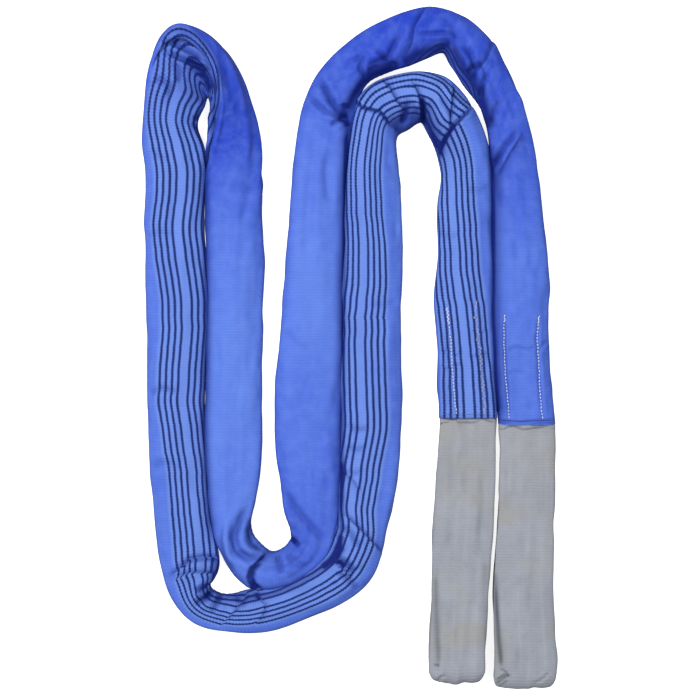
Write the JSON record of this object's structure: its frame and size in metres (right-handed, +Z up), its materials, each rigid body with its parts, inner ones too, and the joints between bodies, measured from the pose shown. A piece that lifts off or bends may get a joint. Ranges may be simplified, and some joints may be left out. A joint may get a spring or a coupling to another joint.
{
  "type": "round sling",
  "caption": "Eye-and-eye round sling of polyester yarn in a flat blue woven cover with navy stripes, a soft grey eye sewn at each end, laid flat in a doubled serpentine.",
  "frame": {"origin": "underside of the plain centre run, where it rests on the floor, a little below the middle of the laid sling's length", "axes": "+Z up from the floor; the straight runs lie along Y with both eyes pointing towards -Y; +X points from the folded middle of the sling towards its two ends"},
  "size_m": [0.6388, 1.0685, 0.054],
  "materials": {
    "blue_cover": "woven polyester cover, navy tracer stripes on one face",
    "grey_sleeve": "woven polyester sleeve, dusty",
    "hank_yarn": "parallel polyester yarn",
    "white_thread": "heavy sewing thread",
    "navy_thread": "sewing thread"
  },
  "bodies": {
    "laid_runs": {"cover_run_left_striped": "blue_cover", "cover_run_left_plain": "blue_cover", "cover_run_centre_plain": "blue_cover", "cover_run_centre_striped": "blue_cover", "cover_run_end_a": "blue_cover", "cover_run_end_b": "blue_cover", "hank_run_left_striped": "hank_yarn", "hank_run_left_plain": "hank_yarn", "hank_run_centre_plain": "hank_yarn", "hank_run_centre_striped": "hank_yarn", "hank_run_end_a": "hank_yarn", "hank_run_end_b": "hank_yarn", "hank_ties": "white_thread"},
    "left_bight": {"cover_left_bight": "blue_cover", "hank_left_bight": "hank_yarn"},
    "bottom_bight": {"cover_bottom_bight_striped": "blue_cover", "cover_bottom_bight_plain": "blue_cover", "hank_bottom_bight_striped": "hank_yarn", "hank_bottom_bight_plain": "hank_yarn"},
    "top_bight": {"cover_top_bight_striped": "blue_cover", "cover_top_bight_plain": "blue_cover", "hank_top_bight_striped": "hank_yarn", "hank_top_bight_plain": "hank_yarn"},
    "end_a": {"cover_throat_a": "blue_cover", "hank_throat_a": "hank_yarn", "eye_a_sleeve_base": "grey_sleeve", "eye_a_sleeve_tuck": "grey_sleeve", "throat_seam_a_left": "white_thread", "throat_seam_a_right": "white_thread", "hem_seam_a": "navy_thread"},
    "eye_a_lower": {"eye_a_sleeve_lower": "grey_sleeve", "eye_a_hank_lower": "hank_yarn"},
    "eye_a_tip": {"eye_a_sleeve_tip": "grey_sleeve", "eye_a_hank_tip": "hank_yarn"},
    "eye_a_upper": {"eye_a_sleeve_upper": "grey_sleeve", "eye_a_hank_upper": "hank_yarn"},
    "end_b": {"cover_throat_b": "blue_cover", "hank_throat_b": "hank_yarn", "eye_b_sleeve_base": "grey_sleeve", "eye_b_sleeve_tuck": "grey_sleeve", "throat_seam_b_left": "white_thread", "throat_seam_b_right": "white_thread", "hem_seam_b": "navy_thread"},
    "eye_b_lower": {"eye_b_sleeve_lower": "grey_sleeve", "eye_b_hank_lower": "hank_yarn"},
    "eye_b_tip": {"eye_b_sleeve_tip": "grey_sleeve", "eye_b_hank_tip": "hank_yarn"},
    "eye_b_upper": {"eye_b_sleeve_upper": "grey_sleeve", "eye_b_hank_upper": "hank_yarn"}
  },
  "joints": [
    {"name": "left_bight_lift", "type": "hinge", "parent": "laid_runs", "child": "left_bight", "pos_m": [-0.1675, 0.252, 0.035], "axis": [1, 0, 0], "range_deg": [0, 95]},
    {"name": "bottom_bight_lift", "type": "hinge", "parent": "laid_runs", "child": "bottom_bight", "pos_m": [-0.06, -0.236, 0.035], "axis": [-1, 0, 0], "range_deg": [0, 85]},
    {"name": "top_bight_lift", "type": "hinge", "parent": "laid_runs", "child": "top_bight", "pos_m": [0.165, 0.205, 0.035], "axis": [1, 0, 0], "range_deg": [0, 75]},
    {"name": "end_a_lift", "type": "hinge", "parent": "laid_runs", "child": "end_a", "pos_m": [0.239, 0.047, 0.035], "axis": [-0.9993, -0.0384, 0], "range_deg": [0, 70]},
    {"name": "eye_a_open", "type": "hinge", "parent": "end_a", "child": "eye_a_lower", "pos_m": [0.23744, -0.32667, 0.0174], "axis": [-0.999, 0.0454, 0], "range_deg": [0, 55]},
    {"name": "eye_a_tip_turn", "type": "hinge", "parent": "eye_a_lower", "child": "eye_a_tip", "pos_m": [0.22817, -0.53086, 0.0028], "axis": [-0.999, 0.0454, 0], "range_deg": [-55, 0]},
    {"name": "eye_a_top_turn", "type": "hinge", "parent": "eye_a_tip", "child": "eye_a_upper", "pos_m": [0.23666, -0.34405, 0.0176], "axis": [-0.999, 0.0454, 0], "range_deg": [0, 55]},
    {"name": "end_b_lift", "type": "hinge", "parent": "laid_runs", "child": "end_b", "pos_m": [0.331, 0.047, 0.035], "axis": [-0.9992, -0.0401, 0], "range_deg": [0, 70]},
    {"name": "eye_b_open", "type": "hinge", "parent": "end_b", "child": "eye_b_lower", "pos_m": [0.33717, -0.33784, 0.0174], "axis": [-1, 0.0087, 0], "range_deg": [0, 55]},
    {"name": "eye_b_tip_turn", "type": "hinge", "parent": "eye_b_lower", "child": "eye_b_tip", "pos_m": [0.33538, -0.54223, 0.0028], "axis": [-1, 0.0087, 0], "range_deg": [-55, 0]},
    {"name": "eye_b_top_turn", "type": "hinge", "parent": "eye_b_tip", "child": "eye_b_upper", "pos_m": [0.33702, -0.35524, 0.0176], "axis": [-1, 0.0087, 0], "range_deg": [0, 55]}
  ],
  "couplings": [
    {"joint": "eye_a_tip_turn", "follows": "eye_a_open", "ratio": -1},
    {"joint": "eye_a_top_turn", "follows": "eye_a_open", "ratio": 1},
    {"joint": "eye_b_tip_turn", "follows": "eye_b_open", "ratio": -1},
    {"joint": "eye_b_top_turn", "follows": "eye_b_open", "ratio": 1}
  ]
}
